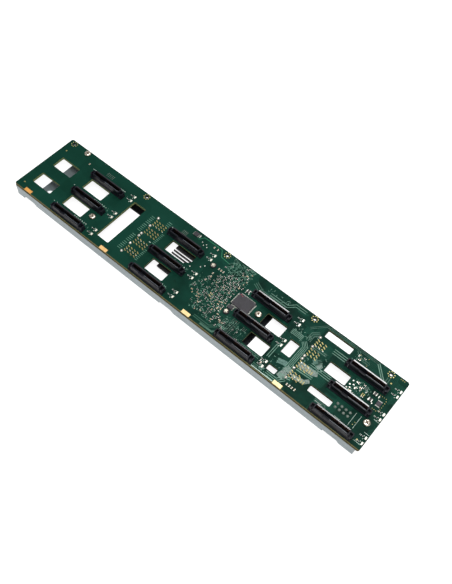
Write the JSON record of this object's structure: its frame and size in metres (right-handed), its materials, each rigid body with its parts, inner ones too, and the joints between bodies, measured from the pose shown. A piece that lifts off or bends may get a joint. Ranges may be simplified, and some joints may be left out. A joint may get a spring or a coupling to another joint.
{
  "type": "drive backplane board",
  "caption": "Server drive backplane: a 430 mm green board with twelve drive receptacles and air windows on a folded steel bracket.",
  "frame": {"origin": "under the middle of the board, on the plane of the bracket's lowest face", "axes": "+X along the board, +Y from the edge with the steel flange to the edge with the mounting holes, +Z out of the face with the drive receptacles"},
  "size_m": [0.43, 0.0812, 0.0265],
  "materials": {
    "green_board": "solder mask over glass laminate",
    "bracket_steel": "zinc plated",
    "screw_metal": "nickel plated",
    "chip_plastic": "moulded, dull",
    "connector_plastic": "moulded, satin",
    "contact_copper": "plated copper alloy",
    "black_anodised": "black anodised",
    "solder": "tin solder",
    "light_plastic": "clear over white",
    "part_ceramic": "dull",
    "gold_plate": "gold plated"
  },
  "bodies": {
    "root": {"circuit_board": "green_board", "steel_bracket": "bracket_steel", "bracket_standoffs": "bracket_steel", "bracket_screws": "screw_metal", "expander_chip": "chip_plastic", "expander_heatsink": "black_anodised", "heatsink_pins": "screw_metal", "heatsink_pin_collars": "chip_plastic", "signal_connector_pins": "solder", "power_connector": "connector_plastic", "power_connector_pins": "solder", "control_chip": "chip_plastic", "small_chips": "chip_plastic", "status_lights": "light_plastic", "light_resistors": "part_ceramic", "ground_pads": "gold_plate", "ceramic_capacitors": "part_ceramic", "power_coils": "part_ceramic", "drive_receptacle_a3": "connector_plastic", "drive_contacts_a3": "contact_copper", "drive_receptacle_a2": "connector_plastic", "drive_contacts_a2": "contact_copper", "drive_receptacle_a1": "connector_plastic", "drive_contacts_a1": "contact_copper", "drive_receptacle_b3": "connector_plastic", "drive_contacts_b3": "contact_copper", "drive_receptacle_b2": "connector_plastic", "drive_contacts_b2": "contact_copper", "drive_receptacle_b1": "connector_plastic", "drive_contacts_b1": "contact_copper", "drive_receptacle_c3": "connector_plastic", "drive_contacts_c3": "contact_copper", "drive_receptacle_c2": "connector_plastic", "drive_contacts_c2": "contact_copper", "drive_receptacle_c1": "connector_plastic", "drive_contacts_c1": "contact_copper", "drive_receptacle_d3": "connector_plastic", "drive_contacts_d3": "contact_copper", "drive_receptacle_d2": "connector_plastic", "drive_contacts_d2": "contact_copper", "drive_receptacle_d1": "connector_plastic", "drive_contacts_d1": "contact_copper", "signal_connector_left_near": "connector_plastic", "signal_connector_left_far": "connector_plastic", "signal_connector_right_near": "connector_plastic", "signal_connector_right_far": "connector_plastic"}
  },
  "joints": []
}
